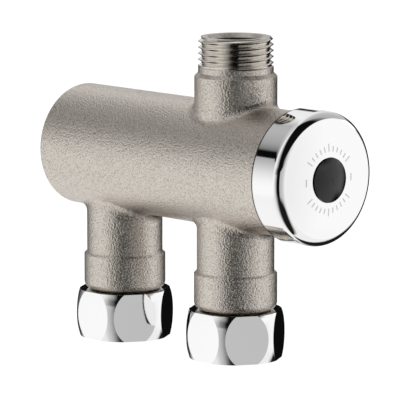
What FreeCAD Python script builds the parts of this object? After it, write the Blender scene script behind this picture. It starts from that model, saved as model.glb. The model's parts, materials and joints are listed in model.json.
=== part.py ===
"""Thermostatic mixing valve with two inlet union nuts below, an outlet thread on top and a knob on the right.

The origin is the middle of the cold inlet's mouth. +Z is up through the outlet and +X runs along the barrel
to the knob. Lengths are millimetres. On the barrel's axis a station is the distance to the right of the
outlet's axis.
"""

import FreeCAD, Part
import math
import os
import re

import Sketcher

SIZES = {
    # Barrel of the body
    "inlet_pitch": 36.0,
    "barrel_height": 42.8,
    "barrel_radius": 13.8,
    "blind_length": 13.6,
    "mouth_length": 19.3,
    "barrel_round": 0.6,
    # Outlet branch
    "outlet_reach": 28.7,
    "outlet_branch_radius": 9.15,
    "outlet_neck": 8.65,
    "outlet_thread_radius": 8.33,
    "outlet_thread_chamfer": 0.6,
    "outlet_bore_radius": 5.25,
    "outlet_bore_wall": 3.7,
    "outlet_bore_chamfer": 1.0,
    # Inlet branches
    "inlet_branch_radius": 8.6,
    "collar_radius": 9.24,
    "collar_length": 7.5,
    "collar_slope": 1.7,
    "collar_round": 1.7,
    "hot_branch_fillet": 2.6,
    "branch_fillet": 2.2,
    # Union nuts
    "nut_length": 10.8,
    "nut_flats": 20.0,
    "nut_end_radius": 10.3,
    "nut_middle_radius": 11.15,
    "nut_gap": 0.1,
    "nut_thread_radius": 7.475,
    "nut_thread_length": 5.5,
    "nut_relief": 0.3,
    "nut_web": 2.4,
    # Nipples, washers and check valves
    "nipple_radius": 6.25,
    "nipple_bore_radius": 4.5,
    "nipple_depth": 6.1,
    "nipple_flange_radius": 7.35,
    "nipple_flange": 1.4,
    "washer_bore_radius": 4.9,
    "strainer_thickness": 0.4,
    "strainer_hole": 2.0,
    "check_length": 10.0,
    "check_wall": 0.8,
    "check_spider": 1.4,
    "check_recess": 1.8,
    "poppet_radius": 5.0,
    "poppet_thickness": 1.2,
    "poppet_stem_radius": 1.0,
    "check_spring_radius": 2.3,
    "check_wire": 0.5,
    # Waterways of the body
    "chamber_radius": 9.9,
    "cartridge_bore_radius": 10.5,
    "mouth_radius": 11.5,
    "blind_wall": 4.0,
    "port_offset": 3.2,
    "port_radius": 2.0,
    "hot_port_radius": 4.0,
    # Cartridge
    "sleeve_right": 8.0,
    "sleeve_length": 28.0,
    "sleeve_radius": 9.2,
    "sleeve_bore_radius": 8.0,
    "mixing_bore_radius": 7.0,
    "middle_step_station": -1.1,
    "middle_flange": 1.1,
    "hot_land": 2.4,
    "seal_width": 1.1,
    "seal_height": 1.15,
    "window_width": 5.0,
    "hot_seat_length": 5.6,
    "spring_pocket_radius": 5.4,
    "spring_pocket_depth": 4.0,
    "hot_gap": 1.5,
    "cold_gap": 0.7,
    "shuttle_length": 8.7,
    "shuttle_bore_radius": 6.2,
    "hub_inset": 3.5,
    "hub_thickness": 2.0,
    "hub_window_inner": 3.2,
    "shuttle_groove_depth": 1.0,
    "return_spring_radius": 4.5,
    "return_wire": 0.9,
    # Wax element
    "stem_radius": 2.2,
    "stem_proud": 0.6,
    "bulb_radius": 4.0,
    "guide_radius": 2.6,
    "guide_length": 3.4,
    "guide_clearance": 1.15,
    "piston_radius": 1.5,
    "piston_length": 5.1,
    "piston_bore_depth": 5.0,
    # Adjuster
    "adjuster_left": 5.0,
    "adjuster_right": 15.0,
    "adjuster_flats": 11.6,
    "adjuster_lip": 0.5,
    "adjuster_cup_radius": 4.9,
    "adjuster_cup_depth": 5.4,
    "pusher_thickness": 1.0,
    "pusher_boss_radius": 3.6,
    "pusher_boss_length": 1.1,
    "overtravel_spring_radius": 4.3,
    "overtravel_wire": 0.7,
    # Spindle
    "spindle_thread_radius": 4.0,
    "spindle_left": 11.2,
    "thrust_collar_radius": 5.2,
    "thrust_collar_left": 15.7,
    "thrust_collar_length": 1.1,
    "spindle_radius": 3.0,
    "spindle_drive_side": 4.2,
    "drive_length": 2.9,
    "clip_width": 0.6,
    "clip_depth": 0.5,
    "clip_radius": 4.2,
    "clip_mouth": 3.0,
    "spindle_seal_width": 1.2,
    "spindle_seal_depth": 0.8,
    # Bonnet
    "bonnet_nose": 3.0,
    "gasket_width": 1.0,
    "bonnet_recess": 0.9,
    "bonnet_neck_radius": 5.4,
    "bonnet_neck": 3.0,
    # Knob
    "knob_radius": 14.75,
    "knob_gap": 0.35,
    "knob_recess": 2.0,
    "knob_rim_round": 2.2,
    "knob_face_rise": 0.9,
    "knob_wall": 1.6,
    "knob_cavity": 4.6,
    "knob_hub_radius": 5.0,
    "knob_web": 0.8,
    "plug_radius": 4.9,
    "plug_proud": 0.3,
    "plug_rise": 0.9,
    "plug_skirt": 2.3,
    "plug_wall": 1.0,
    "screw_radius": 1.2,
    "screw_length": 4.6,
    "screw_head_radius": 2.75,
    "screw_head": 1.6,
    "screw_socket": 2.0,
    # Clearances
    "fit_gap": 0.05,
    "running_gap": 0.1,
    "face_gap": 0.05,
    "end_play": 0.1,
}

STRAINER_HOLES = 6
SPIDER_WINDOWS = 4
SPIDER_WINDOW_HALF_ANGLE = 33
HUB_WINDOWS = 4
HUB_WINDOW_HALF_ANGLE = 30
SLEEVE_WINDOWS = 4
CHECK_COILS = 2
RETURN_COILS = 3
OVERTRAVEL_COILS = 1.5

OVERCUT = 1
TOUCHING = 0.01
EDGE_SAMPLES = 9
NAMES = re.compile(r"[a-z][a-z_]+")

# Heights of the outlet branch
OUTLET_TOP = "(barrel_height + outlet_reach)"
OUTLET_SHOULDER = f"({OUTLET_TOP} - outlet_neck)"
OUTLET_BORE_FLOOR = "(barrel_height + cartridge_bore_radius + outlet_bore_wall)"

# Heights of the inlet stack above the nuts' lower faces
COLLAR_BOTTOM = "(nut_length + nut_gap)"
NIPPLE_TOP = f"({COLLAR_BOTTOM} + nipple_depth)"
FLANGE_TOP = "(nut_length - nut_web - end_play)"
FLANGE_BOTTOM = f"({FLANGE_TOP} - nipple_flange)"
CHECK_TOP = f"({NIPPLE_TOP} + check_length)"
SPIDER_TOP = f"({CHECK_TOP} - check_recess)"
SPIDER_BOTTOM = f"({SPIDER_TOP} - check_spider)"
POPPET_BOTTOM = f"({NIPPLE_TOP} + face_gap)"
POPPET_TOP = f"({POPPET_BOTTOM} + poppet_thickness)"

# Stations along the barrel
BLIND_END = "(-inlet_pitch - blind_length)"
SLEEVE_LEFT = "(sleeve_right - sleeve_length)"
HOT_SEAT_FACE = f"({SLEEVE_LEFT} + hot_seat_length)"
SHUTTLE_LEFT = f"({HOT_SEAT_FACE} + hot_gap)"
SHUTTLE_RIGHT = f"({SHUTTLE_LEFT} + shuttle_length)"
COLD_SEAT_FACE = f"({SHUTTLE_RIGHT} + cold_gap)"
SHUTTLE_MIDDLE = f"({SHUTTLE_LEFT} + shuttle_length / 2)"
HUB_LEFT = f"({SHUTTLE_LEFT} + hub_inset)"
HUB_RIGHT = f"({HUB_LEFT} + hub_thickness)"
PUSHER_LEFT = "(adjuster_left + adjuster_lip + face_gap)"
GUIDE_RIGHT = f"({PUSHER_LEFT} - guide_clearance)"
BULB_RIGHT = f"({GUIDE_RIGHT} - guide_length)"
PUSHER_RIGHT = f"({PUSHER_LEFT} + pusher_thickness)"
CUP_FLOOR = "(adjuster_left + adjuster_cup_depth)"
COLLAR_RIGHT = "(thrust_collar_left + thrust_collar_length)"
BONNET_FLOOR = f"({COLLAR_RIGHT} + end_play)"
BONNET_END = "(mouth_length - bonnet_recess)"
NECK_END = f"({BONNET_END} + bonnet_neck)"
CLIP_LEFT = f"({NECK_END} + end_play)"
CLIP_RIGHT = f"({CLIP_LEFT} + clip_width)"
DRIVE_LEFT = f"({CLIP_RIGHT} + fit_gap)"
DRIVE_RIGHT = f"({DRIVE_LEFT} + drive_length)"
RECESS_FLOOR = f"({DRIVE_RIGHT} + fit_gap + knob_web)"
SPINDLE_SEAL_LEFT = f"({BONNET_END} + bonnet_neck / 2 - spindle_seal_width)"

# The knob's domed face and the plug in its recess
KNOB_REAR = "(mouth_length + knob_gap)"
KNOB_RIM = f"({RECESS_FLOOR} + knob_recess)"
FACE_EDGE = "(knob_radius - knob_rim_round)"
FACE_RADIUS = f"(knob_face_rise / 2 + {FACE_EDGE} ^ 2 / 2 / knob_face_rise)"
RECESS_RADIUS = "(plug_radius + fit_gap)"
RECESS_DROP = f"({FACE_RADIUS} - sqrt({FACE_RADIUS} ^ 2 - {RECESS_RADIUS} ^ 2))"
RECESS_EDGE = f"({KNOB_RIM} + knob_face_rise - {RECESS_DROP})"
PLUG_EDGE = f"({RECESS_EDGE} + plug_proud)"

doc = FreeCAD.newDocument("MixingValve")
sheet = doc.addObject("Spreadsheet::Sheet", "Sizes")
for row, (name, size) in enumerate(SIZES.items(), start=1):
    sheet.set(f"A{row}", name.replace("_", " "))
    sheet.set(f"B{row}", str(size))
    sheet.setAlias(f"B{row}", name)
doc.recompute()


def formula(text):
    """Point each name in a formula at its cell in the sheet."""
    return NAMES.sub(lambda word: "Sizes." + word[0] if word[0] in SIZES else word[0], text)


def value(text):
    return float(sheet.evalExpression(formula(text)))


def bind(item, prop, text):
    item.setExpression(prop, formula(text))


def new_body(label):
    body = doc.addObject("PartDesign::Body", label)
    body.Label = label
    return body


def new_sketch(body, name, role="XZ_Plane", shift=("0", "0", "0")):
    """A sketch on one of the body's own planes, shifted along the sketch's own axes."""
    sketch = body.newObject("Sketcher::SketchObject", name)
    plane = next(item for item in body.Origin.OriginFeatures if item.Role == role)
    sketch.AttachmentSupport = [(plane, "")]
    sketch.MapMode = "FlatFace"
    for axis, text in zip("xyz", shift):
        bind(sketch, "AttachmentOffset.Base." + axis, text)
    return sketch


def fix_point(sketch, element, end, corner):
    """Hold one point of a sketch at two formulas."""
    for kind, text in zip(("DistanceX", "DistanceY"), corner):
        index = sketch.addConstraint(Sketcher.Constraint(kind, -1, 1, element, end, value(text)))
        bind(sketch, f"Constraints[{index}]", text)


def arc_through(start, stop, radius, side):
    """The shorter arc between two points; side is 1 where it bulges to the left on the way from start."""
    chord = stop - start
    rise = radius - math.sqrt(radius**2 - chord.Length**2 / 4)
    outward = FreeCAD.Vector(-chord.y, chord.x, 0).normalize() * side
    return Part.Arc(start, (start + stop) * 0.5 + outward * rise, stop)


def draw_outline(sketch, corners):
    """Draw a closed outline. A corner is (u, v), or (u, v, radius, side) where an arc leaves it."""
    points = [FreeCAD.Vector(value(corner[0]), value(corner[1]), 0) for corner in corners]
    first = sketch.GeometryCount
    starts = []
    for place, corner in enumerate(corners):
        start = points[place]
        stop = points[(place + 1) % len(points)]
        if len(corner) == 2:
            element = sketch.addGeometry(Part.LineSegment(start, stop), False)
        else:
            element = sketch.addGeometry(arc_through(start, stop, value(corner[2]), corner[3]), False)
        forward = (sketch.getPoint(element, 1) - start).Length < (sketch.getPoint(element, 2) - start).Length
        starts.append(1 if forward else 2)
    for place, corner in enumerate(corners):
        follower = (place + 1) % len(corners)
        link = (first + place, 3 - starts[place], first + follower, starts[follower])
        sketch.addConstraint(Sketcher.Constraint("Coincident", *link))
        fix_point(sketch, first + place, starts[place], corner)
        if len(corner) > 2:
            index = sketch.addConstraint(Sketcher.Constraint("Radius", first + place, value(corner[2])))
            bind(sketch, f"Constraints[{index}]", corner[2])


def draw_circle(sketch, radius, centre=("0", "0")):
    middle = FreeCAD.Vector(value(centre[0]), value(centre[1]), 0)
    element = sketch.addGeometry(Part.Circle(middle, FreeCAD.Vector(0, 0, 1), value(radius)), False)
    fix_point(sketch, element, 3, centre)
    index = sketch.addConstraint(Sketcher.Constraint("Radius", element, value(radius)))
    bind(sketch, f"Constraints[{index}]", radius)


def turn(body, name, corners, cut=False, axis="V_Axis", shift=("0", "0", "0")):
    """Revolve an outline about one axis of its sketch, adding it to the body or cutting it away."""
    sketch = new_sketch(body, name + "Outline", "XZ_Plane", shift)
    draw_outline(sketch, corners)
    feature = body.newObject("PartDesign::Groove" if cut else "PartDesign::Revolution", name)
    feature.Profile = sketch
    feature.ReferenceAxis = (sketch, [axis])
    feature.Angle = 360
    return feature


def extrude(body, name, length, cut=False, role="XY_Plane", shift=("0", "0", "0"), corners=None, circles=()):
    """Pad or pocket an outline or circles along the sketch's normal."""
    sketch = new_sketch(body, name + "Outline", role, shift)
    if corners:
        draw_outline(sketch, corners)
    for circle in circles:
        draw_circle(sketch, *circle)
    feature = body.newObject("PartDesign::Pocket" if cut else "PartDesign::Pad", name)
    feature.Profile = sketch
    feature.Reversed = cut
    bind(feature, "Length", length)
    return feature


def repeat_around(body, feature, count):
    """Repeat a feature round the body's own upright axis."""
    axis = next(item for item in body.Origin.OriginFeatures if item.Role == "Z_Axis")
    pattern = body.newObject("PartDesign::PolarPattern", feature.Name + "Pattern")
    pattern.Originals = [feature]
    pattern.Axis = (axis, [""])
    pattern.Angle = 360
    pattern.Occurrences = count
    body.Tip = pattern
    return pattern


def polygon(flats, sides=6):
    """Corners of a regular polygon of even sides, one corner on the sketch's first axis."""
    reach = f"{flats} / 2 / cos({180 / sides})"
    turns = [360 / sides * place for place in range(sides)]
    return [(f"{reach} * cos({angle})", f"{reach} * sin({angle})") for angle in turns]


def rectangle(left, right, bottom, top):
    return [(left, bottom), (right, bottom), (right, top), (left, top)]


def ring(label, inner, outer, bottom, top):
    """A plain turned ring about the body's upright axis."""
    body = new_body(label)
    turn(body, label + "Ring", rectangle(inner, outer, bottom, top))
    return body


def spring(label, radius, wire, bottom, top, coils):
    """A coil spring of square wire that fills the height between two faces."""
    body = new_body(label)
    sketch = new_sketch(body, label + "Wire")
    inner = f"{radius} - {wire} / 2"
    draw_outline(sketch, rectangle(inner, f"{inner} + {wire}", bottom, f"{bottom} + {wire}"))
    coil = body.newObject("PartDesign::AdditiveHelix", label + "Coil")
    coil.Profile = sketch
    coil.ReferenceAxis = (sketch, ["V_Axis"])
    coil.Mode = 0
    bind(coil, "Height", f"{top} - {bottom} - {wire}")
    bind(coil, "Pitch", f"({top} - {bottom} - {wire}) / {coils}")
    return body


def lay_on_barrel(body):
    """Turn an upright body so that its heights become stations on the barrel's axis."""
    body.Placement = FreeCAD.Placement(FreeCAD.Vector(), FreeCAD.Rotation(FreeCAD.Vector(0, 1, 0), 90))
    bind(body, "Placement.Base.z", "barrel_height")


def stand_on_inlet(body, shift):
    bind(body, "Placement.Base.x", shift)


def meeting_edges(feature, axis_shift, branch_radius):
    """Names of the edges where an upright branch meets the barrel."""
    found = []
    for place, edge in enumerate(feature.Shape.Edges, start=1):
        misses = []
        for point in edge.discretize(EDGE_SAMPLES):
            misses.append(math.hypot(point.y, point.z - value("barrel_height")) - value("barrel_radius"))
            misses.append(math.hypot(point.x - axis_shift, point.y) - value(branch_radius))
        if all(abs(miss) < TOUCHING for miss in misses):
            found.append(f"Edge{place}")
    return found


def blend_branch(body, name, radius, axis_shift, branch_radius):
    """Fillet the corner between the barrel and an upright branch."""
    doc.recompute()
    base = body.Tip
    edges = meeting_edges(base, value(axis_shift), branch_radius)
    fillet = body.newObject("PartDesign::Fillet", name)
    fillet.Base = (base, edges)
    bind(fillet, "Radius", radius)


def make_valve_body():
    body = new_body("valve_body")
    on_axis = ("0", "barrel_height", "0")
    barrel = [
        (BLIND_END, "0"),
        (BLIND_END, "barrel_radius - barrel_round", "barrel_round", 1),
        (f"{BLIND_END} + barrel_round", "barrel_radius"),
        ("mouth_length", "barrel_radius"),
        ("mouth_length", "0"),
    ]
    turn(body, "Barrel", barrel, axis="H_Axis", shift=on_axis)
    shoulder_top = f"{OUTLET_SHOULDER} + outlet_branch_radius - outlet_thread_radius"
    outlet = [
        ("0", "barrel_height"),
        ("outlet_branch_radius", "barrel_height"),
        ("outlet_branch_radius", OUTLET_SHOULDER),
        ("outlet_thread_radius", shoulder_top),
        ("outlet_thread_radius", f"{OUTLET_TOP} - outlet_thread_chamfer"),
        ("outlet_thread_radius - outlet_thread_chamfer", OUTLET_TOP),
        ("0", OUTLET_TOP),
    ]
    turn(body, "OutletBranch", outlet)
    inlet = [
        ("0", "barrel_height"),
        ("0", COLLAR_BOTTOM),
        ("collar_radius - collar_round", COLLAR_BOTTOM, "collar_round", -1),
        ("collar_radius", f"{COLLAR_BOTTOM} + collar_round"),
        ("collar_radius", f"{COLLAR_BOTTOM} + collar_length"),
        ("inlet_branch_radius", f"{COLLAR_BOTTOM} + collar_length + collar_slope"),
        ("inlet_branch_radius", "barrel_height"),
    ]
    for side, shift in INLETS:
        turn(body, side.title() + "Branch", inlet, shift=(shift, "0", "0"))
    blend_branch(body, "OutletFillet", "branch_fillet", "0", "outlet_branch_radius")
    blend_branch(body, "ColdFillet", "branch_fillet", "0", "inlet_branch_radius")
    blend_branch(body, "HotFillet", "hot_branch_fillet", "-inlet_pitch", "inlet_branch_radius")
    chamber = [
        (f"{BLIND_END} + blind_wall", "0"),
        (f"{BLIND_END} + blind_wall", "chamber_radius"),
        ("middle_step_station", "chamber_radius"),
        ("middle_step_station", "cartridge_bore_radius"),
        ("sleeve_right + bonnet_nose", "cartridge_bore_radius"),
        ("sleeve_right + bonnet_nose", "mouth_radius"),
        ("mouth_length", "mouth_radius"),
        ("mouth_length", "0"),
    ]
    turn(body, "Chamber", chamber, cut=True, axis="H_Axis", shift=on_axis)
    outlet_bore = [
        ("0", OUTLET_BORE_FLOOR),
        ("outlet_bore_radius", OUTLET_BORE_FLOOR),
        ("outlet_bore_radius", f"{OUTLET_TOP} - outlet_bore_chamfer"),
        ("outlet_bore_radius + outlet_bore_chamfer", OUTLET_TOP),
        ("0", OUTLET_TOP),
    ]
    turn(body, "OutletBore", outlet_bore, cut=True)
    inlet_bore = [
        ("0", COLLAR_BOTTOM),
        ("nipple_radius + fit_gap", COLLAR_BOTTOM),
        ("nipple_radius + fit_gap", CHECK_TOP),
        ("0", CHECK_TOP),
    ]
    for side, shift in INLETS:
        turn(body, side.title() + "Bore", inlet_bore, cut=True, shift=(shift, "0", "0"))
    ports = [
        ("HotPort", CHECK_TOP, f"barrel_height - {CHECK_TOP}", "hot_port_radius", "-inlet_pitch"),
        ("ColdPort", CHECK_TOP, f"barrel_height - {CHECK_TOP}", "port_radius", "-port_offset"),
        ("OutletPort", "barrel_height", f"{OUTLET_BORE_FLOOR} - barrel_height", "port_radius", "port_offset"),
    ]
    for name, bottom, length, radius, station in ports:
        circle = (radius, (station, "0"))
        extrude(body, name, length, cut=True, shift=("0", "0", bottom), circles=[circle])
    return body


def make_union_nut(side):
    body = new_body(side + "_union_nut")
    extrude(body, "Hexagon", "nut_length", corners=polygon("nut_flats"))
    rise = "(nut_middle_radius - nut_end_radius)"
    crown = f"({rise} / 2 + nut_length ^ 2 / 8 / {rise})"
    outside = [
        ("nut_end_radius", "0", crown, -1),
        ("nut_end_radius", "nut_length"),
        ("nut_flats", "nut_length"),
        ("nut_flats", "0"),
    ]
    turn(body, "TurnedCorners", outside, cut=True)
    relief = "nut_thread_radius + nut_relief"
    bore = [
        ("0", "0"),
        ("nut_thread_radius", "0"),
        ("nut_thread_radius", "nut_thread_length"),
        (relief, "nut_thread_length"),
        (relief, "nut_length - nut_web"),
        ("nipple_radius + running_gap", "nut_length - nut_web"),
        ("nipple_radius + running_gap", "nut_length"),
        ("0", "nut_length"),
    ]
    turn(body, "ThreadBore", bore, cut=True)
    return body


def make_nipple(side):
    body = new_body(side + "_nipple")
    section = [
        ("nipple_bore_radius", FLANGE_BOTTOM),
        ("nipple_flange_radius", FLANGE_BOTTOM),
        ("nipple_flange_radius", FLANGE_TOP),
        ("nipple_radius", FLANGE_TOP),
        ("nipple_radius", NIPPLE_TOP),
        ("nipple_bore_radius", NIPPLE_TOP),
    ]
    turn(body, "Tube", section)
    return body


def make_filter_washer(side):
    body = new_body(side + "_filter_washer")
    middle = f"((nut_thread_length + {FLANGE_BOTTOM}) / 2)"
    section = [
        ("washer_bore_radius", "nut_thread_length"),
        ("nipple_flange_radius", "nut_thread_length"),
        ("nipple_flange_radius", FLANGE_BOTTOM),
        ("washer_bore_radius", FLANGE_BOTTOM),
        ("washer_bore_radius", f"{middle} + strainer_thickness / 2"),
        ("0", f"{middle} + strainer_thickness / 2"),
        ("0", f"{middle} - strainer_thickness / 2"),
        ("washer_bore_radius", f"{middle} - strainer_thickness / 2"),
    ]
    turn(body, "Washer", section)
    near = "(washer_bore_radius / 2 - strainer_hole / 2 + strainer_thickness)"
    hole = rectangle(near, f"{near} + strainer_hole", "-strainer_hole / 2", "strainer_hole / 2")
    lift = ("0", "0", f"{middle} - strainer_thickness")
    pierced = extrude(body, "StrainerHole", "2 * strainer_thickness", cut=True, shift=lift, corners=hole)
    repeat_around(body, pierced, STRAINER_HOLES)
    return body


def make_check_cage(side):
    body = new_body(side + "_check_cage")
    inner = "(nipple_radius - check_wall)"
    section = [
        (inner, NIPPLE_TOP),
        ("nipple_radius", NIPPLE_TOP),
        ("nipple_radius", CHECK_TOP),
        (inner, CHECK_TOP),
        (inner, SPIDER_TOP),
        ("poppet_stem_radius + running_gap", SPIDER_TOP),
        ("poppet_stem_radius + running_gap", SPIDER_BOTTOM),
        (inner, SPIDER_BOTTOM),
    ]
    turn(body, "Cage", section)
    lift = ("0", "0", f"{SPIDER_BOTTOM} - check_wall")
    near = "(check_spring_radius + check_wire)"
    window = [
        (near, f"-{near} / 2"),
        (f"{inner} * cos({SPIDER_WINDOW_HALF_ANGLE})", f"-{inner} * sin({SPIDER_WINDOW_HALF_ANGLE})"),
        (f"{inner} * cos({SPIDER_WINDOW_HALF_ANGLE})", f"{inner} * sin({SPIDER_WINDOW_HALF_ANGLE})"),
        (near, f"{near} / 2"),
    ]
    depth = "check_spider + 2 * check_wall"
    opening = extrude(body, "SpiderWindow", depth, cut=True, shift=lift, corners=window)
    repeat_around(body, opening, SPIDER_WINDOWS)
    return body


def make_check_poppet(side):
    body = new_body(side + "_check_poppet")
    section = [
        ("0", POPPET_BOTTOM),
        ("poppet_radius", POPPET_BOTTOM),
        ("poppet_radius", POPPET_TOP),
        ("poppet_stem_radius", POPPET_TOP),
        ("poppet_stem_radius", SPIDER_TOP),
        ("0", SPIDER_TOP),
    ]
    turn(body, "Poppet", section)
    return body


def make_check_spring(side):
    label = side + "_check_spring"
    return spring(label, "check_spring_radius", "check_wire", POPPET_TOP, SPIDER_BOTTOM, CHECK_COILS)


def groove(bottom, floor, outer):
    """Outline of a seal groove whose lower flank is at one station."""
    return rectangle(floor, f"{outer} + {OVERCUT}", bottom, f"{bottom} + seal_width + fit_gap")


def make_cartridge_sleeve():
    body = new_body("cartridge_sleeve")
    land_radius = "(chamber_radius - fit_gap)"
    flange_radius = "(cartridge_bore_radius - fit_gap)"
    flange_left = "(middle_step_station + seal_width)"
    flange_right = f"({flange_left} + middle_flange)"
    section = [
        ("sleeve_bore_radius", SLEEVE_LEFT),
        ("sleeve_radius", SLEEVE_LEFT),
        ("sleeve_radius", f"{SHUTTLE_MIDDLE} - hot_land / 2"),
        (land_radius, f"{SHUTTLE_MIDDLE} - hot_land / 2"),
        (land_radius, f"{SHUTTLE_MIDDLE} + hot_land / 2"),
        ("sleeve_radius", f"{SHUTTLE_MIDDLE} + hot_land / 2"),
        ("sleeve_radius", flange_left),
        (flange_radius, flange_left),
        (flange_radius, flange_right),
        ("sleeve_radius", flange_right),
        ("sleeve_radius", "sleeve_right"),
        ("mixing_bore_radius", "sleeve_right"),
        ("mixing_bore_radius", COLD_SEAT_FACE),
        ("sleeve_bore_radius", COLD_SEAT_FACE),
    ]
    turn(body, "Liner", section)
    seal_left = f"({SHUTTLE_MIDDLE} - seal_width / 2)"
    seal_floor = "chamber_radius - seal_height - fit_gap"
    turn(body, "HotSealGroove", groove(seal_left, seal_floor, land_radius), cut=True)
    windows = [
        ("Hot", f"({HOT_SEAT_FACE} - face_gap)", SHUTTLE_LEFT),
        ("Cold", SHUTTLE_RIGHT, COLD_SEAT_FACE),
        ("Outlet", "(port_offset - port_radius)", "(port_offset + port_radius)"),
    ]
    for name, left, right in windows:
        corners = rectangle("-window_width / 2", "window_width / 2", left, right)
        depth = f"sleeve_radius + {OVERCUT}"
        window = extrude(body, name + "Window", depth, cut=True, role="XZ_Plane", corners=corners)
        repeat_around(body, window, SLEEVE_WINDOWS)
    return body


def make_hot_seat():
    body = new_body("hot_seat")
    section = [
        ("0", SLEEVE_LEFT),
        ("sleeve_bore_radius - fit_gap", SLEEVE_LEFT),
        ("sleeve_bore_radius - fit_gap", HOT_SEAT_FACE),
        ("spring_pocket_radius", HOT_SEAT_FACE),
        ("spring_pocket_radius", f"{HOT_SEAT_FACE} - spring_pocket_depth"),
        ("0", f"{HOT_SEAT_FACE} - spring_pocket_depth"),
    ]
    turn(body, "SeatPlug", section)
    return body


def make_shuttle():
    body = new_body("shuttle")
    outer = "(sleeve_bore_radius - running_gap)"
    section = [
        ("shuttle_bore_radius", SHUTTLE_LEFT),
        (outer, SHUTTLE_LEFT),
        (outer, SHUTTLE_RIGHT),
        ("shuttle_bore_radius", SHUTTLE_RIGHT),
        ("shuttle_bore_radius", HUB_RIGHT),
        ("stem_radius + fit_gap", HUB_RIGHT),
        ("stem_radius + fit_gap", HUB_LEFT),
        ("shuttle_bore_radius", HUB_LEFT),
    ]
    turn(body, "Piston", section)
    bottom = f"{SHUTTLE_MIDDLE} - seal_width / 2"
    turn(body, "SealGroove", groove(bottom, f"{outer} - shuttle_groove_depth", outer), cut=True)
    reach = "shuttle_bore_radius"
    window = [
        ("hub_window_inner", "-hub_window_inner / 2"),
        (f"{reach} * cos({HUB_WINDOW_HALF_ANGLE})", f"-{reach} * sin({HUB_WINDOW_HALF_ANGLE})"),
        (f"{reach} * cos({HUB_WINDOW_HALF_ANGLE})", f"{reach} * sin({HUB_WINDOW_HALF_ANGLE})"),
        ("hub_window_inner", "hub_window_inner / 2"),
    ]
    lift = ("0", "0", f"{HUB_LEFT} - hub_thickness / 2")
    opening = extrude(body, "HubWindow", "2 * hub_thickness", cut=True, shift=lift, corners=window)
    repeat_around(body, opening, HUB_WINDOWS)
    return body


def make_wax_element():
    body = new_body("wax_element")
    section = [
        ("0", f"{HUB_LEFT} - stem_proud"),
        ("stem_radius", f"{HUB_LEFT} - stem_proud"),
        ("stem_radius", HUB_RIGHT),
        ("bulb_radius", HUB_RIGHT),
        ("bulb_radius", BULB_RIGHT),
        ("guide_radius", BULB_RIGHT),
        ("guide_radius", GUIDE_RIGHT),
        ("piston_radius + running_gap", GUIDE_RIGHT),
        ("piston_radius + running_gap", f"{GUIDE_RIGHT} - piston_bore_depth"),
        ("0", f"{GUIDE_RIGHT} - piston_bore_depth"),
    ]
    turn(body, "Capsule", section)
    return body


def make_element_piston():
    body = new_body("element_piston")
    right = f"{PUSHER_LEFT} - face_gap"
    turn(body, "Piston", rectangle("0", "piston_radius", f"{right} - piston_length", right))
    return body


def make_adjuster_nut():
    body = new_body("adjuster_nut")
    lift = ("0", "0", "adjuster_left")
    extrude(body, "Hexagon", "adjuster_right - adjuster_left", shift=lift, corners=polygon("adjuster_flats"))
    lip_radius = "adjuster_cup_radius - adjuster_lip"
    bore = [
        ("0", "adjuster_left"),
        (lip_radius, "adjuster_left"),
        (lip_radius, "adjuster_left + adjuster_lip"),
        ("adjuster_cup_radius", "adjuster_left + adjuster_lip"),
        ("adjuster_cup_radius", CUP_FLOOR),
        ("spindle_thread_radius + running_gap", CUP_FLOOR),
        ("spindle_thread_radius + running_gap", "adjuster_right"),
        ("0", "adjuster_right"),
    ]
    turn(body, "CupAndThread", bore, cut=True)
    return body


def make_pusher_cap():
    body = new_body("pusher_cap")
    section = [
        ("0", PUSHER_LEFT),
        ("adjuster_cup_radius - running_gap", PUSHER_LEFT),
        ("adjuster_cup_radius - running_gap", PUSHER_RIGHT),
        ("pusher_boss_radius", PUSHER_RIGHT),
        ("pusher_boss_radius", f"{PUSHER_RIGHT} + pusher_boss_length"),
        ("0", f"{PUSHER_RIGHT} + pusher_boss_length"),
    ]
    turn(body, "Cap", section)
    return body


def make_spindle():
    body = new_body("spindle")
    seal_floor = "spindle_radius - spindle_seal_depth"
    seal_right = f"{SPINDLE_SEAL_LEFT} + spindle_seal_width + fit_gap"
    section = [
        ("0", "spindle_left"),
        ("spindle_thread_radius", "spindle_left"),
        ("spindle_thread_radius", "thrust_collar_left"),
        ("thrust_collar_radius", "thrust_collar_left"),
        ("thrust_collar_radius", COLLAR_RIGHT),
        ("spindle_radius", COLLAR_RIGHT),
        ("spindle_radius", SPINDLE_SEAL_LEFT),
        (seal_floor, SPINDLE_SEAL_LEFT),
        (seal_floor, seal_right),
        ("spindle_radius", seal_right),
        ("spindle_radius", CLIP_LEFT),
        ("spindle_radius - clip_depth", CLIP_LEFT),
        ("spindle_radius - clip_depth", f"{CLIP_RIGHT} + fit_gap"),
        ("0", f"{CLIP_RIGHT} + fit_gap"),
    ]
    turn(body, "Shaft", section)
    square = polygon("spindle_drive_side", 4)
    extrude(body, "Drive", "drive_length", shift=("0", "0", DRIVE_LEFT), corners=square)
    hole = ("0", "0", f"{DRIVE_RIGHT} - screw_length")
    circle = ("screw_radius + fit_gap", ("0", "0"))
    extrude(body, "ScrewHole", "screw_length", cut=True, shift=hole, circles=[circle])
    return body


def make_spindle_clip():
    body = new_body("spindle_clip")
    inner = "(spindle_radius - clip_depth + fit_gap)"
    lift = ("0", "0", f"{CLIP_LEFT} + face_gap")
    circles = [("clip_radius", ("0", "0")), (inner, ("0", "0"))]
    extrude(body, "ClipRing", "clip_width - face_gap", shift=lift, circles=circles)
    mouth = rectangle("0", f"clip_radius + {OVERCUT}", "-clip_mouth / 2", "clip_mouth / 2")
    extrude(body, "ClipMouth", "clip_width", cut=True, shift=lift, corners=mouth)
    return body


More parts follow.
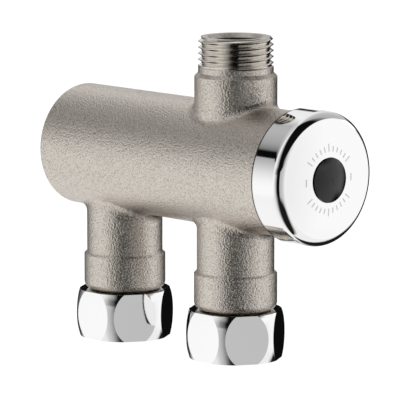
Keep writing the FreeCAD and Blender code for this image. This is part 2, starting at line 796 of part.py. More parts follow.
def make_bonnet():
    body = new_body("bonnet")
    nose = "(cartridge_bore_radius - fit_gap)"
    section = [
        ("0", "sleeve_right"),
        (nose, "sleeve_right"),
        (nose, "sleeve_right + bonnet_nose + gasket_width"),
        ("mouth_radius - fit_gap", "sleeve_right + bonnet_nose + gasket_width"),
        ("mouth_radius - fit_gap", BONNET_END),
        ("bonnet_neck_radius", BONNET_END),
        ("bonnet_neck_radius", NECK_END),
        ("0", NECK_END),
    ]
    turn(body, "Plug", section)
    hexagon = polygon("(adjuster_flats + 2 * running_gap)")
    depth = f"{BONNET_FLOOR} - sleeve_right"
    extrude(body, "HexagonBore", depth, cut=True, shift=("0", "0", "sleeve_right"), corners=hexagon)
    circle = ("spindle_radius + running_gap", ("0", "0"))
    floor = ("0", "0", BONNET_FLOOR)
    extrude(body, "SpindleBore", f"{NECK_END} - {BONNET_FLOOR}", cut=True, shift=floor, circles=[circle])
    return body


def make_control_knob():
    body = new_body("control_knob")
    cavity_floor = f"{KNOB_REAR} + knob_cavity"
    section = [
        ("0", RECESS_FLOOR),
        (RECESS_RADIUS, RECESS_FLOOR),
        (RECESS_RADIUS, RECESS_EDGE, FACE_RADIUS, 1),
        (FACE_EDGE, KNOB_RIM, "knob_rim_round", 1),
        ("knob_radius", f"{KNOB_RIM} - knob_rim_round"),
        ("knob_radius", KNOB_REAR),
        ("knob_radius - knob_wall", KNOB_REAR),
        ("knob_radius - knob_wall", cavity_floor),
        ("knob_hub_radius", cavity_floor),
        ("knob_hub_radius", f"{DRIVE_LEFT} + face_gap"),
        ("0", f"{DRIVE_LEFT} + face_gap"),
    ]
    turn(body, "KnobForm", section)
    square = polygon("(spindle_drive_side + 2 * fit_gap)", 4)
    lift = ("0", "0", DRIVE_LEFT)
    extrude(body, "DriveSocket", "drive_length + fit_gap", cut=True, shift=lift, corners=square)
    circle = ("screw_radius + running_gap", ("0", "0"))
    extrude(body, "ScrewHole", "drive_length + 2 * knob_web", cut=True, shift=lift, circles=[circle])
    return body


def make_knob_screw():
    body = new_body("knob_screw")
    section = [
        ("0", f"{DRIVE_RIGHT} - screw_length + face_gap"),
        ("screw_radius", f"{DRIVE_RIGHT} - screw_length + face_gap"),
        ("screw_radius", RECESS_FLOOR),
        ("screw_head_radius", RECESS_FLOOR),
        ("screw_head_radius", f"{RECESS_FLOOR} + screw_head"),
        ("0", f"{RECESS_FLOOR} + screw_head"),
    ]
    turn(body, "Screw", section)
    lift = ("0", "0", f"{RECESS_FLOOR} + screw_head / 2")
    extrude(body, "Socket", "screw_head", cut=True, shift=lift, corners=polygon("screw_socket"))
    return body


def make_knob_plug():
    body = new_body("knob_plug")
    dome = "(plug_rise / 2 + plug_radius ^ 2 / 2 / plug_rise)"
    hollow = "plug_radius - plug_wall"
    roof = f"({PLUG_EDGE} - plug_wall / 2)"
    section = [
        ("0", roof),
        (hollow, roof),
        (hollow, f"{PLUG_EDGE} - plug_skirt"),
        ("plug_radius", f"{PLUG_EDGE} - plug_skirt"),
        ("plug_radius", PLUG_EDGE, dome, -1),
        ("0", f"{PLUG_EDGE} + plug_rise"),
    ]
    turn(body, "Plug", section)
    return body


INLETS = [("hot", "-inlet_pitch"), ("cold", "0")]

make_valve_body()
for side, shift in INLETS:
    for make in (
        make_union_nut,
        make_nipple,
        make_filter_washer,
        make_check_cage,
        make_check_poppet,
        make_check_spring,
    ):
        stand_on_inlet(make(side), shift)

on_barrel = [
    make_cartridge_sleeve(),
    make_hot_seat(),
    make_shuttle(),
    make_wax_element(),
    make_element_piston(),
    make_adjuster_nut(),
    make_pusher_cap(),
    make_spindle(),
    make_spindle_clip(),
    make_bonnet(),
    make_control_knob(),
    make_knob_screw(),
    make_knob_plug(),
]
for label, inner, outer, left, width in (
    (
        "hot_side_seal",
        "chamber_radius - seal_height",
        "chamber_radius - fit_gap / 2",
        f"({SHUTTLE_MIDDLE} - seal_width / 2)",
        "seal_width",
    ),
    (
        "middle_seal",
        "sleeve_radius + fit_gap",
        "cartridge_bore_radius - fit_gap",
        "middle_step_station",
        "seal_width",
    ),
    (
        "bonnet_gasket",
        "cartridge_bore_radius",
        "mouth_radius - fit_gap",
        "(sleeve_right + bonnet_nose)",
        "gasket_width",
    ),
    (
        "shuttle_seal",
        "sleeve_bore_radius - running_gap - shuttle_groove_depth + fit_gap",
        "sleeve_bore_radius - running_gap",
        f"({SHUTTLE_MIDDLE} - seal_width / 2)",
        "seal_width",
    ),
    (
        "spindle_seal",
        "spindle_radius - spindle_seal_depth + fit_gap",
        "spindle_radius",
        SPINDLE_SEAL_LEFT,
        "spindle_seal_width",
    ),
):
    on_barrel.append(ring(label, inner, outer, left, f"{left} + {width}"))
pocket_floor = f"({HOT_SEAT_FACE} - spring_pocket_depth)"
for label, wire, left, right, coils in (
    ("return_spring", "return_wire", pocket_floor, HUB_LEFT, RETURN_COILS),
    ("overtravel_spring", "overtravel_wire", PUSHER_RIGHT, CUP_FLOOR, OVERTRAVEL_COILS),
):
    on_barrel.append(spring(label, label + "_radius", wire, left, right, coils))
for body in on_barrel:
    lay_on_barrel(body)
doc.recompute()

for item in doc.Objects:
    if "Invalid" in item.State or "Error" in item.State:
        raise RuntimeError(f"{item.Label} failed: {item.State}")
bodies = [item for item in doc.Objects if item.TypeId == "PartDesign::Body"]
for body in bodies:
    if body.Shape.isNull() or not body.Shape.isValid() or len(body.Shape.Solids) != 1:
        raise RuntimeError(f"{body.Label} is not one valid solid")

os.makedirs("parts", exist_ok=True)
for body in bodies:
    body.Shape.exportStep(f"parts/{body.Label}.step")
    print(body.Label, round(body.Shape.Volume, 1))
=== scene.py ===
"""Looks of the thermostatic mixing valve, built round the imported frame. Lengths are in metres."""

import json
import math

import bpy
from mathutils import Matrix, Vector


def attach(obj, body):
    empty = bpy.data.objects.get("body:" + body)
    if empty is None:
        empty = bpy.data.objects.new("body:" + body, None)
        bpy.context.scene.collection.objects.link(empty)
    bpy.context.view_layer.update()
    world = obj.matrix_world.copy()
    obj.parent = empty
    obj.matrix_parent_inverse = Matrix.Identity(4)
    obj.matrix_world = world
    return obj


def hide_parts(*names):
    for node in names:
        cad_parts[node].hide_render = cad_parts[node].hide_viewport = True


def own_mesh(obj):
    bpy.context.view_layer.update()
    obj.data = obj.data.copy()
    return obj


# Heights and radii that the pieces share with the solids
BARREL_HEIGHT = 0.0428
INLET_PITCH = 0.036
NECK_TOP = 0.0649
OUTLET_BORE = 0.0053

# Sockets of a Mix node that mixes colours
MIX_SHARE = 0
MIX_FIRST = 6
MIX_SECOND = 7
MIX_RESULT = 2

SKIN_HEIGHT = 0.00002

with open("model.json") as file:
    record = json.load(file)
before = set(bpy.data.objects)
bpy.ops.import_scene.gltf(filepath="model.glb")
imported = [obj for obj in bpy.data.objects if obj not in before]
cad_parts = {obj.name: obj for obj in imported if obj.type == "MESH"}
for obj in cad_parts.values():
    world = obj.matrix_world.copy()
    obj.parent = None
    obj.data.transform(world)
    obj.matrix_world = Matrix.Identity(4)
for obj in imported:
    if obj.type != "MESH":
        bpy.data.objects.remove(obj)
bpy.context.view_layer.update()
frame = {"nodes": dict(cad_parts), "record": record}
nodes = frame["nodes"]


def new_material(name, color, roughness, metallic=0.0):
    """A principled material, its node tree and its shader."""
    material = bpy.data.materials.new(name)
    material.use_nodes = True
    tree = material.node_tree
    shader = tree.nodes["Principled BSDF"]
    shader.inputs["Base Color"].default_value = (*color, 1)
    shader.inputs["Roughness"].default_value = roughness
    shader.inputs["Metallic"].default_value = metallic
    return material, tree, shader


def add_noise(tree, scale, detail=2.0):
    """Noise over the object's own coordinates."""
    place = tree.nodes.new("ShaderNodeTexCoord")
    noise = tree.nodes.new("ShaderNodeTexNoise")
    noise.inputs["Scale"].default_value = scale
    noise.inputs["Detail"].default_value = detail
    tree.links.new(place.outputs["Object"], noise.inputs["Vector"])
    return noise.outputs["Fac"]


def add_ramp(tree, factor, stops):
    """A colour ramp over a factor. A stop is (place, colour)."""
    ramp = tree.nodes.new("ShaderNodeValToRGB")
    elements = ramp.color_ramp.elements
    while len(elements) < len(stops):
        elements.new(0.5)
    for element, (place, color) in zip(elements, stops):
        element.position = place
        element.color = (*color, 1)
    tree.links.new(factor, ramp.inputs["Fac"])
    return ramp.outputs["Color"]


def add_bump(tree, shader, height, distance):
    bump = tree.nodes.new("ShaderNodeBump")
    bump.inputs["Distance"].default_value = distance
    tree.links.new(height, bump.inputs["Height"])
    tree.links.new(bump.outputs["Normal"], shader.inputs["Normal"])
    return bump


def map_range(tree, source, low, high, first=0.0, last=1.0):
    """A value that goes from first to last as its source goes from low to high."""
    share = tree.nodes.new("ShaderNodeMapRange")
    share.inputs["From Min"].default_value = low
    share.inputs["From Max"].default_value = high
    share.inputs["To Min"].default_value = first
    share.inputs["To Max"].default_value = last
    tree.links.new(source, share.inputs["Value"])
    return share.outputs[0]


def share_along(tree, axis, low, high):
    """A share that rises from 0 to 1 between two places along an axis of the object."""
    place = tree.nodes.new("ShaderNodeTexCoord")
    split = tree.nodes.new("ShaderNodeSeparateXYZ")
    tree.links.new(place.outputs["Object"], split.inputs[0])
    return map_range(tree, split.outputs[axis], low, high)


def from_upright_axis(tree):
    """The distance from the object's own Z axis."""
    place = tree.nodes.new("ShaderNodeTexCoord")
    split = tree.nodes.new("ShaderNodeSeparateXYZ")
    level = tree.nodes.new("ShaderNodeCombineXYZ")
    length = tree.nodes.new("ShaderNodeVectorMath")
    length.operation = "LENGTH"
    tree.links.new(place.outputs["Object"], split.inputs[0])
    tree.links.new(split.outputs["X"], level.inputs["X"])
    tree.links.new(split.outputs["Y"], level.inputs["Y"])
    tree.links.new(level.outputs[0], length.inputs[0])
    return length.outputs["Value"]


def blend(tree, kind, share, first, second):
    mix = tree.nodes.new("ShaderNodeMix")
    mix.data_type = "RGBA"
    mix.blend_type = kind
    for socket, source in ((MIX_SHARE, share), (MIX_FIRST, first), (MIX_SECOND, second)):
        tree.links.new(source, mix.inputs[socket])
    return mix.outputs[MIX_RESULT]


def worn_metal(name, light, dark, roughness, scale):
    """A turned or drawn metal with a faint uneven tone."""
    material, tree, shader = new_material(name, light, roughness, metallic=1.0)
    tone = add_ramp(tree, add_noise(tree, scale), [(0.35, dark), (0.65, light)])
    tree.links.new(tone, shader.inputs["Base Color"])
    return material


def moulded(name, light, dark, roughness, scale):
    """A moulded plastic or rubber with a fine skin."""
    material, tree, shader = new_material(name, light, roughness)
    noise = add_noise(tree, scale)
    tone = add_ramp(tree, noise, [(0.35, dark), (0.65, light)])
    tree.links.new(tone, shader.inputs["Base Color"])
    add_bump(tree, shader, noise, SKIN_HEIGHT)
    return material


# Nickel, with its tones from the hollows of the grain to the tops
NICKEL = (0.72, 0.665, 0.6)
CAST_TONES = [(0.3, (0.5, 0.45, 0.4)), (0.5, NICKEL), (0.7, (0.77, 0.715, 0.65))]
TURNED_TONES = [(0.3, (0.7, 0.66, 0.61)), (0.7, (0.76, 0.72, 0.67))]
# Painted shade for the inside of the outlet's bore, in dark tones of the same grain
PAINTED_BORE_SHADE_TONES = [(0.3, (0.09, 0.075, 0.065)), (0.7, (0.14, 0.12, 0.105))]
CAST_ROUGHNESS = 0.33
TURNED_ROUGHNESS = 0.13
GRAIN_SCALE = 2700
GRAIN_DETAIL = 1.2
GRAIN_HEIGHT = 0.00017
TURNED_GRAIN_SHARE = 0.06
TURNED_EDGE = 0.0003
# How far beyond the bore's wall the painted shade fades out
BORE_SHADE_EDGE = 0.0002


def blasted_nickel():
    """Matt nickel on a sand-blasted casting, with painted shade that makes the outlet's bore dark."""
    material, tree, shader = new_material("blasted_nickel", NICKEL, CAST_ROUGHNESS, metallic=1.0)
    grain = add_noise(tree, GRAIN_SCALE, GRAIN_DETAIL)
    tone = add_ramp(tree, grain, CAST_TONES)
    # Painted shade: inside the outlet's bore the grain takes dark tones
    painted_bore_shade = add_ramp(tree, grain, PAINTED_BORE_SHADE_TONES)
    outside = map_range(tree, from_upright_axis(tree), OUTLET_BORE, OUTLET_BORE + BORE_SHADE_EDGE)
    tree.links.new(blend(tree, "MIX", outside, painted_bore_shade, tone), shader.inputs["Base Color"])
    add_bump(tree, shader, grain, GRAIN_HEIGHT)
    return material


def turned_nickel():
    """The nickel of the outlet's neck, smooth above the height where it is turned."""
    material, tree, shader = new_material("turned_nickel", NICKEL, CAST_ROUGHNESS, metallic=1.0)
    grain = add_noise(tree, GRAIN_SCALE, GRAIN_DETAIL)
    cast_tone = add_ramp(tree, grain, CAST_TONES)
    turned_tone = add_ramp(tree, grain, TURNED_TONES)
    turned = share_along(tree, "Z", NECK_TOP, NECK_TOP + TURNED_EDGE)
    tree.links.new(blend(tree, "MIX", turned, cast_tone, turned_tone), shader.inputs["Base Color"])
    roughness = map_range(tree, turned, 0, 1, CAST_ROUGHNESS, TURNED_ROUGHNESS)
    tree.links.new(roughness, shader.inputs["Roughness"])
    bump = add_bump(tree, shader, grain, GRAIN_HEIGHT)
    strength = map_range(tree, turned, 0, 1, 1.0, TURNED_GRAIN_SHARE)
    tree.links.new(strength, bump.inputs["Strength"])
    return material


CHROME = (0.95, 0.95, 0.95)
CHROME_ROUGHNESS = 0.045
# Painted shade along the knob's rear edge: its dark tone, its roughness, and how far from the edge it
# starts to fade and has faded out
PAINTED_SHADE_TONE = (0.05, 0.05, 0.05)
PAINTED_SHADE_ROUGHNESS = 0.3
PAINTED_SHADE_WIDTH = 0.0002
PAINTED_SHADE_FADED = 0.00045


def chrome_with_painted_shade(name, rear):
    """Chrome with a painted shade: a dark, rougher line along the knob's rear edge, where it meets the
    body.
    """
    material, tree, shader = new_material(name, CHROME, CHROME_ROUGHNESS, metallic=1.0)
    # The painted shade: the base colour goes dark and the chrome rough close to the rear edge
    share = share_along(tree, "X", rear + PAINTED_SHADE_WIDTH, rear + PAINTED_SHADE_FADED)
    tone = add_ramp(tree, share, [(0, PAINTED_SHADE_TONE), (1, CHROME)])
    tree.links.new(tone, shader.inputs["Base Color"])
    roughness = map_range(tree, share, 0, 1, PAINTED_SHADE_ROUGHNESS, CHROME_ROUGHNESS)
    tree.links.new(roughness, shader.inputs["Roughness"])
    return material


# Looks of the record's slots: (light tone, dark tone, roughness, scale of the noise between the tones)
METALS = {
    "chrome": (CHROME, (0.93, 0.93, 0.935), CHROME_ROUGHNESS, 60),
    "machined_brass": ((0.8, 0.62, 0.33), (0.7, 0.52, 0.26), 0.28, 400),
    "element_copper": ((0.82, 0.48, 0.34), (0.72, 0.4, 0.27), 0.3, 400),
    "steel": ((0.64, 0.65, 0.66), (0.54, 0.55, 0.56), 0.25, 500),
}
PLASTICS = {
    "plug_plastic": ((0.005, 0.005, 0.006), (0.004, 0.004, 0.005), 0.14, 1500),
    "cartridge_plastic": ((0.05, 0.05, 0.053), (0.035, 0.035, 0.038), 0.5, 700),
    "check_plastic": ((0.72, 0.73, 0.72), (0.66, 0.67, 0.66), 0.45, 700),
    "seal_rubber": ((0.03, 0.03, 0.032), (0.02, 0.02, 0.022), 0.6, 900),
}

looks = {"blasted_nickel": blasted_nickel()}
looks.update({slot: worn_metal(slot, *look) for slot, look in METALS.items()})
looks.update({slot: moulded(slot, *look) for slot, look in PLASTICS.items()})
turned_end = turned_nickel()
knob_rear = min(vertex.co.x for vertex in nodes["control_knob"].data.vertices)
# The knob's chrome, with painted shade along its rear edge
knob_chrome_painted_shade = chrome_with_painted_shade("knob_chrome_painted_shade", knob_rear)
engraving = worn_metal("engraving", (0.76, 0.76, 0.77), (0.68, 0.68, 0.69), 0.4, 3000)


def assign(piece, material):
    piece.data.materials.clear()
    piece.data.materials.append(material)
    for polygon in piece.data.polygons:
        polygon.material_index = 0


def new_piece(name, points, faces, material):
    """A mesh object with smooth faces."""
    mesh = bpy.data.meshes.new(name)
    mesh.from_pydata(points, [], faces)
    mesh.update()
    piece = bpy.data.objects.new(name, mesh)
    bpy.context.scene.collection.objects.link(piece)
    mesh.shade_smooth()
    assign(piece, material)
    return piece


def copy_of(node, name, material, dropped=None, mend=None):
    """A copy of a node's mesh with its own normals, less the faces that dropped picks."""
    source = nodes[node].data
    kept = [polygon for polygon in source.polygons if not (dropped and dropped(polygon.center))]
    faces = [tuple(polygon.vertices) for polygon in kept]
    corners = [corner for polygon in kept for corner in polygon.loop_indices]
    normals = [source.corner_normals[corner].vector.copy() for corner in corners]
    points = [vertex.co.copy() for vertex in source.vertices]
    if mend:
        mend(points, faces, normals)
    piece = new_piece(name, points, faces, material)
    piece.data.normals_split_custom_set(normals)
    return piece


def around(axis, angle, radius, height):
    """The point at an angle, a radius and a height round an upright axis."""
    return Vector((axis[0] + radius * math.cos(angle), axis[1] + radius * math.sin(angle), height))


# The threads of the outlet and the nuts, in rows that follow the helix
THREAD_PITCH = 0.001337
THREAD_DEPTH = 0.000856
ROWS_PER_PITCH = 12
COLUMNS_PER_TURN = 96
RIDGE_ROUNDING = 0.3
LEAST_AREA = 1e-12


def ridge_share(phase):
    """How far a thread has risen from root to crest at a share of its pitch."""
    ridge = 1 - 2 * abs(2 * phase - 1)
    ridge = (1 - RIDGE_ROUNDING) * ridge + RIDGE_ROUNDING * math.sin(ridge * math.pi / 2)
    return (1 + ridge) / 2


def thread_mesh(axis, bottom, top, crest, root, ease, outward):
    """Points and faces of a right-hand thread between two heights, where ease shapes its ends."""
    first = -ROWS_PER_PITCH
    last = math.ceil((top - bottom) / THREAD_PITCH * ROWS_PER_PITCH)
    points = []
    for row in range(first, last + 1):
        share = ridge_share((row % ROWS_PER_PITCH) / ROWS_PER_PITCH)
        for column in range(COLUMNS_PER_TURN + 1):
            turn = column / COLUMNS_PER_TURN
            height = bottom + (row / ROWS_PER_PITCH + turn) * THREAD_PITCH
            height = min(max(height, bottom), top)
            radius = ease(height, root + (crest - root) * share)
            points.append(around(axis, 2 * math.pi * turn, radius, height))

    wide = COLUMNS_PER_TURN + 1
    faces = []
    for row in range(last - first):
        for column in range(COLUMNS_PER_TURN):
            near = row * wide + column
            face = (near, near + 1, near + 1 + wide, near + wide)
            face = face if outward else face[::-1]
            corners = [points[index] for index in face]
            if (corners[2] - corners[0]).cross(corners[3] - corners[1]).length > LEAST_AREA:
                faces.append(face)
    return points, faces


# The casting, and its outlet with the turned neck and thread
OUTLET_AXIS = (0.0, 0.0)
OUTLET_CREST = 0.00833
NECK_SKIN = 0.0079
SHOULDER_TOP = 0.06367
CHAMFER_BOTTOM = 0.0709
OUTLET_TOP = 0.0715
FIRST_GROOVE = 0.0006

# A collar's slope shows as a fine step: (height in the solid, height in the step)
COLLAR_TOP = (0.0184, 0.0189)
SLOPE_TOP = (0.0201, 0.0193)
SAME_HEIGHT = 0.00002
SLOPE_INSIDE = 0.00855
SLOPE_OUTSIDE = 0.0093
COLLAR_RADIUS = 0.00924
BRANCH_RADIUS = 0.0086


def on_outlet_neck(centre):
    return centre.z > SHOULDER_TOP and math.hypot(centre.x, centre.y) > NECK_SKIN


def outlet_ends(height, radius):
    """The outlet's thread starts in the neck's first groove and ends in the mouth's chamfer."""
    share = min(max((height - NECK_TOP) / FIRST_GROOVE, 0), 1)
    radius = OUTLET_CREST + (radius - OUTLET_CREST) * share
    return min(radius, OUTLET_CREST - max(height - CHAMFER_BOTTOM, 0))


def from_inlet(point):
    """The way from the nearer inlet's axis to a point, seen from above."""
    return Vector((point.x + (INLET_PITCH if point.x < -INLET_PITCH / 2 else 0), point.y, 0))


def tighten_collars(points, faces, normals):
    """Make the collars' slopes steeper in the copied points, and turn their normals to suit."""
    ring = {}
    for index, point in enumerate(points):
        if SLOPE_INSIDE < from_inlet(point).length < SLOPE_OUTSIDE:
            for old, new in (COLLAR_TOP, SLOPE_TOP):
                if abs(point.z - old) < SAME_HEIGHT:
                    ring[index] = new
    for index, height in ring.items():
        points[index].z = height
    lean = (COLLAR_RADIUS - BRANCH_RADIUS) / (SLOPE_TOP[1] - COLLAR_TOP[1])
    corner = 0
    for face in faces:
        heights = {ring.get(index) for index in face}
        on_slope = len(heights) == 2 and None not in heights
        for index in face:
            if on_slope:
                way = from_inlet(points[index]).normalized()
                normals[corner] = Vector((way.x, way.y, lean)).normalized()
            corner += 1


casting = copy_of(
    "valve_body", "valve_casting", looks["blasted_nickel"], dropped=on_outlet_neck, mend=tighten_collars
)
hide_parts("valve_body")
points, faces = thread_mesh(
    OUTLET_AXIS, SHOULDER_TOP, OUTLET_TOP, OUTLET_CREST, OUTLET_CREST - THREAD_DEPTH, outlet_ends, True
)
thread = new_piece("outlet_thread_ridges", points, faces, turned_end)
for piece in (casting, thread):
    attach(piece, "valve")

# Union nuts with their threads
NUT_AXES = {"hot": (-INLET_PITCH, 0.0), "cold": (0.0, 0.0)}
NUT_CREST = 0.007475
NUT_SKIN = 0.0001
NUT_MOUTH = 0.00845
NUT_OUTLINE = 0.00945
NUT_THREAD_TOP = 0.0055
NUT_RUN_OUT = 0.0005
ON_FLOOR = 0.000001
SAME_LEVEL = 0.00001


def nut_ends(height, radius):
    """A nut's thread starts in the mouth's chamfer and runs out at its top."""
    radius = max(radius, NUT_MOUTH - height)
    share = min(max((NUT_THREAD_TOP - height) / NUT_RUN_OUT, 0), 1)
    return NUT_CREST + (radius - NUT_CREST) * share


def in_thread_or_below(centre, axis):
    """Whether a nut's face lies in its threaded bore or is its lower face."""
    in_bore = math.hypot(centre.x - axis[0], centre.y - axis[1]) < NUT_CREST + NUT_SKIN
    return centre.z < ON_FLOOR or (in_bore and centre.z < NUT_THREAD_TOP - SAME_LEVEL)


def mouth_ring(name, node, axis, material):
    """The nut's lower face, from its own outline in to the mouth's chamfer."""
    outline = {}
    for vertex in nodes[node].data.vertices:
        x = vertex.co.x - axis[0]
        y = vertex.co.y - axis[1]
        if abs(vertex.co.z) < ON_FLOOR and math.hypot(x, y) > NUT_OUTLINE:
            outline[round(math.atan2(y, x), 4)] = math.hypot(x, y)
    rim = sorted(outline.items())
    points = [around(axis, angle, reach, 0) for angle, reach in rim]
    points += [around(axis, angle, NUT_MOUTH, 0) for angle, reach in rim]
    faces = []
    for place in range(len(rim)):
        follower = (place + 1) % len(rim)
        faces.append((place, len(rim) + place, len(rim) + follower, follower))
    return new_piece(name, points, faces, material)


for side, axis in NUT_AXES.items():
    node = side + "_union_nut"
    shell = copy_of(
        node, side + "_nut_shell", looks["chrome"], lambda centre: in_thread_or_below(centre, axis)
    )
    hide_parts(node)
    mouth = mouth_ring(side + "_nut_mouth", node, axis, looks["chrome"])
    points, faces = thread_mesh(
        axis, 0.0, NUT_THREAD_TOP, NUT_CREST, NUT_CREST + THREAD_DEPTH, nut_ends, False
    )
    ridges = new_piece(side + "_nut_ridges", points, faces, looks["machined_brass"])
    for piece in (shell, mouth, ridges):
        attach(piece, side + "_nut")

# Marks engraved in the knob's domed face: two dashes, and between them two fans of fine ticks
FACE_TOP = 0.0288
FACE_SPHERE = 0.08795
MARK_LIFT = 0.000012
MARK_STEPS = 4
DASH = (0.00672, 0.00708, 0.0016)
TICK = (0.0062, 0.0074, 0.0003)
LONG_TICK = (0.0062, 0.0079, 0.0003)
TICK_SPACING = 11
TICKS_EACH_WAY = 5


def mark(points, faces, angle, inner, outer, width):
    """One short stroke on the knob's face, at an angle from +Y towards +Z."""
    first = len(points)
    for step in range(MARK_STEPS + 1):
        radial = inner + (outer - inner) * step / MARK_STEPS
        for across in (-width / 2, width / 2):
            y = radial * math.cos(angle) - across * math.sin(angle)
            z = radial * math.sin(angle) + across * math.cos(angle)
            x = FACE_TOP - FACE_SPHERE + math.sqrt(FACE_SPHERE**2 - y**2 - z**2) + MARK_LIFT
            points.append(Vector((x, y, BARREL_HEIGHT + z)))
    for step in range(MARK_STEPS):
        near = first + 2 * step
        faces.append((near, near + 2, near + 3, near + 1))


points = []
faces = []
for angle in (0, math.pi):
    mark(points, faces, angle, *DASH)
for middle in (90, 270):
    for step in range(-TICKS_EACH_WAY, TICKS_EACH_WAY + 1):
        tick = LONG_TICK if step % TICKS_EACH_WAY == 0 else TICK
        mark(points, faces, math.radians(middle + TICK_SPACING * step), *tick)
marks = new_piece("knob_marks", points, faces, engraving)
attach(marks, "control")

# Springs, each copied in steel and fixed to its body: (node, body, joint, axis, fixed end, length,
# travel)
UPRIGHT = (0, 0, 1)
ALONG_BARREL = (1, 0, 0)
HOT_SPIDER = (-INLET_PITCH, 0, 0.0238)
COLD_SPIDER = (0, 0, 0.0238)
CUP_FLOOR = (0.0104, 0, BARREL_HEIGHT)
POCKET_FLOOR = (-0.0184, 0, BARREL_HEIGHT)
SPRINGS = [
    ("hot_check_spring", "valve", "hot_check_lift", UPRIGHT, HOT_SPIDER, 0.00555, 0.0015),
    ("cold_check_spring", "valve", "cold_check_lift", UPRIGHT, COLD_SPIDER, 0.00555, 0.0015),
    ("overtravel_spring", "adjuster", "overtravel_slide", ALONG_BARREL, CUP_FLOOR, 0.00385, 0.001),
    ("return_spring", "valve", "thermostat_slide", ALONG_BARREL, POCKET_FLOOR, 0.009, 0.0008),
]

for node, body, joint, way, fixed_end, length, travel in SPRINGS:
    coil = copy_of(node, node + "_coil", looks["steel"])
    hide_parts(node)
    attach(coil, body)
    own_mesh(coil)

for part in frame["record"]["subparts"]:
    assign(nodes[part["node"]], looks[part["material_slot"]])
# The knob takes the chrome with painted shade along its rear edge
assign(nodes["control_knob"], knob_chrome_painted_shade)

# The floor takes the object's shadow, shows white to the camera and isn't mirrored in the metal
FLOOR_HALF = 3.0
FLOOR_GLOW = 0.92
floor_mesh = bpy.data.meshes.new("floor")
corners = [(x * FLOOR_HALF, y * FLOOR_HALF, 0) for x, y in ((-1, -1), (1, -1), (1, 1), (-1, 1))]
floor_mesh.from_pydata(corners, [], [(0, 1, 2, 3)])
floor = bpy.data.objects.new("floor", floor_mesh)
bpy.context.scene.collection.objects.link(floor)
floor.visible_glossy = False
floor_material, tree, shader = new_material("floor", (0.5, 0.5, 0.5), 1.0)
shader.inputs["Specular IOR Level"].default_value = 0
shader.inputs["Emission Color"].default_value = (1, 1, 1, 1)
path = tree.nodes.new("ShaderNodeLightPath")
glow = tree.nodes.new("ShaderNodeMath")
glow.operation = "MULTIPLY"
glow.inputs[1].default_value = FLOOR_GLOW
tree.links.new(path.outputs["Is Camera Ray"], glow.inputs[0])
tree.links.new(glow.outputs[0], shader.inputs["Emission Strength"])
floor_mesh.materials.append(floor_material)

# Grey levels of the studio as the metal sees it: (degrees anticlockwise from +X, level)
WALLS = [
    (-180, 0.25),
    (-170, 0.55),
    (-160, 0.85),
    (-148, 1.0),
    (-112, 1.0),
    (-98, 0.9),
    (-88, 0.7),
    (-76, 0.44),
    (-70, 0.25),
    (-65, 0.05),
    (-62, 0.003),
    (-36, 0.003),
    (-33, 0.5),
    (-4, 0.57),
    (18, 0.78),
    (34, 0.92),
    (44, 1.0),
    (70, 1.0),
    (78, 0.5),
    (82, 0.004),
    (123, 0.004),
    (127, 0.95),
    (142, 0.95),
    (147, 0.05),
    (165, 0.05),
    (180, 0.25),
]
# Just above the walls, where the side towards the camera is dark
BORDER = [
    (-180, 0.9),
    (-160, 0.9),
    (-148, 1.0),
    (-112, 1.0),
    (-98, 0.8),
    (-78, 0.2),
    (-66, 0.004),
    (-22, 0.004),
    (-4, 0.4),
    (22, 1.0),
    (62, 1.0),
    (70, 1.6),
    (80, 1.6),
    (86, 0.5),
    (90, 0.004),
    (119, 0.004),
    (126, 0.9),
    (129, 0.9),
    (131, 0.004),
    (140, 0.004),
    (143, 1.0),
    (180, 0.9),
]
CEILING = [
    (-180, 1.0),
    (-112, 1.0),
    (-98, 0.9),
    (-76, 0.4),
    (-62, 0.004),
    (38, 0.004),
    (54, 0.45),
    (80, 0.5),
    (107, 0.6),
    (120, 0.8),
    (180, 1.0),
]
GROUND = [
    (-180, 0.95),
    (-150, 0.95),
    (-125, 0.9),
    (-98, 0.85),
    (-76, 0.45),
    (-60, 0.05),
    (-52, 0.01),
    (2, 0.01),
    (11, 0.4),
    (20, 0.9),
    (56, 0.9),
    (66, 0.01),
    (122, 0.01),
    (134, 0.5),
    (145, 0.9),
    (180, 0.95),
]
# How far each zone takes over from the walls: (sine of the height, share)
BORDER_SHARE = [(-1.0, 0.0), (0.12, 0.0), (0.16, 1.0), (1.0, 1.0)]
CEILING_SHARE = [(-1.0, 0.0), (0.26, 0.0), (0.34, 1.0), (1.0, 1.0)]
GROUND_SHARE = [(-1.0, 1.0), (-0.45, 1.0), (-0.32, 0.0), (1.0, 0.0)]
# Shades of the left side from the floor to the zenith, with the dark gap above its wall
LEFT_SHADES = [
    (-1.0, 1.0),
    (-0.2, 1.0),
    (-0.05, 0.93),
    (0.1, 0.78),
    (0.3, 0.52),
    (0.385, 0.42),
    (0.405, 0.003),
    (0.505, 0.003),
    (0.54, 0.2),
    (0.62, 0.36),
    (0.75, 0.5),
    (0.9, 0.6),
    (1.0, 0.62),
]
LEFT_ROUND = [(-180, 1.0), (-125, 1.0), (-105, 0.0), (150, 0.0), (170, 1.0), (180, 1.0)]


def grey(level):
    return (level, level, level)


def by_bearing(levels):
    return [((angle + 180) / 360, grey(level)) for angle, level in levels]


def by_height(shares):
    return [((sine + 1) / 2, grey(share)) for sine, share in shares]


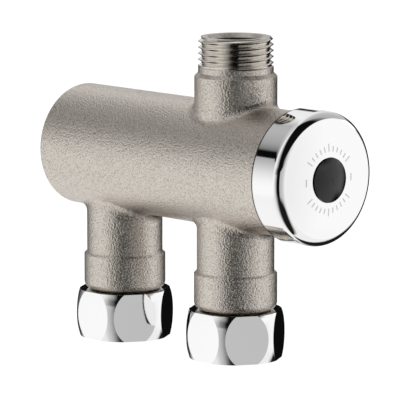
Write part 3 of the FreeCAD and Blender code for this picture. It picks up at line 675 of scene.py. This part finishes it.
def studio_world():
    """A world that is white to the camera and a studio of grey walls to everything else."""
    world = bpy.data.worlds.new("studio")
    bpy.context.scene.world = world
    world.use_nodes = True
    tree = world.node_tree
    tree.nodes.clear()
    place = tree.nodes.new("ShaderNodeTexCoord")
    split = tree.nodes.new("ShaderNodeSeparateXYZ")
    tree.links.new(place.outputs["Generated"], split.inputs[0])
    bearing = tree.nodes.new("ShaderNodeMath")
    bearing.operation = "ARCTAN2"
    tree.links.new(split.outputs["Y"], bearing.inputs[0])
    tree.links.new(split.outputs["X"], bearing.inputs[1])
    turn = map_range(tree, bearing.outputs[0], -math.pi, math.pi)
    rise = map_range(tree, split.outputs["Z"], -1, 1)

    color = add_ramp(tree, turn, by_bearing(WALLS))
    for zone, shares in ((BORDER, BORDER_SHARE), (CEILING, CEILING_SHARE), (GROUND, GROUND_SHARE)):
        share = add_ramp(tree, rise, by_height(shares))
        color = blend(tree, "MIX", share, color, add_ramp(tree, turn, by_bearing(zone)))
    left = add_ramp(tree, turn, by_bearing(LEFT_ROUND))
    color = blend(tree, "MULTIPLY", left, color, add_ramp(tree, rise, by_height(LEFT_SHADES)))

    studio = tree.nodes.new("ShaderNodeBackground")
    tree.links.new(color, studio.inputs["Color"])
    white = tree.nodes.new("ShaderNodeBackground")
    white.inputs["Color"].default_value = (1, 1, 1, 1)
    path = tree.nodes.new("ShaderNodeLightPath")
    choice = tree.nodes.new("ShaderNodeMixShader")
    tree.links.new(path.outputs["Is Camera Ray"], choice.inputs[0])
    tree.links.new(studio.outputs[0], choice.inputs[1])
    tree.links.new(white.outputs[0], choice.inputs[2])
    output = tree.nodes.new("ShaderNodeOutputWorld")
    tree.links.new(choice.outputs[0], output.inputs["Surface"])


studio_world()

CAMERA_PLACE = Vector((0.5803, -0.5720, 0.16676))
CAMERA_TARGET = Vector((-0.00553, -0.00561, 0.03515))
CAMERA_LENS = 336.45

camera_data = bpy.data.cameras.new("camera")
camera_data.lens = CAMERA_LENS
camera_data.sensor_width = 36
camera_data.clip_start = 0.01
camera_data.clip_end = 20
camera = bpy.data.objects.new("camera", camera_data)
bpy.context.scene.collection.objects.link(camera)
camera.location = CAMERA_PLACE
camera.rotation_euler = (CAMERA_TARGET - CAMERA_PLACE).to_track_quat("-Z", "Y").to_euler()
bpy.context.scene.camera = camera

bpy.context.scene.view_settings.view_transform = "Standard"
